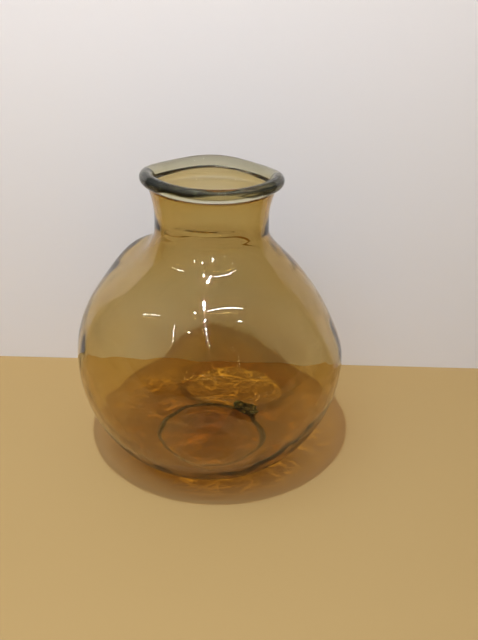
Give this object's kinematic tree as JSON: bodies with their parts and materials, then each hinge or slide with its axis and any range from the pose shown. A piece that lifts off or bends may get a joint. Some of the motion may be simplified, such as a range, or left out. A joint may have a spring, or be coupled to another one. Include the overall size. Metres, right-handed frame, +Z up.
{
  "type": "blown glass vase",
  "caption": "Round-bellied blown glass vase with a short wide neck, a heavy rolled lip and a pushed-up base; holds flower stems or branches in water.",
  "frame": {"origin": "middle of the foot ring, on the surface the vase stands on", "axes": "+Z up along the vase's axis through the mouth; -Y towards the viewer, +X to the viewer's right; the shoulder is a little fuller on -X"},
  "size_m": [0.271, 0.271, 0.3],
  "materials": {
    "body_glass": "clear amber-smoke glass, fire polished",
    "base_glass": "clear amber-smoke glass, thick, ground on the foot ring",
    "lip_glass": "clear amber-smoke glass, thick rounded bead"
  },
  "bodies": {
    "root": {"base_pad": "base_glass", "foot_ring": "base_glass", "bowl": "body_glass", "shoulder": "body_glass", "neck": "body_glass", "lip_wrap": "lip_glass"}
  },
  "joints": []
}
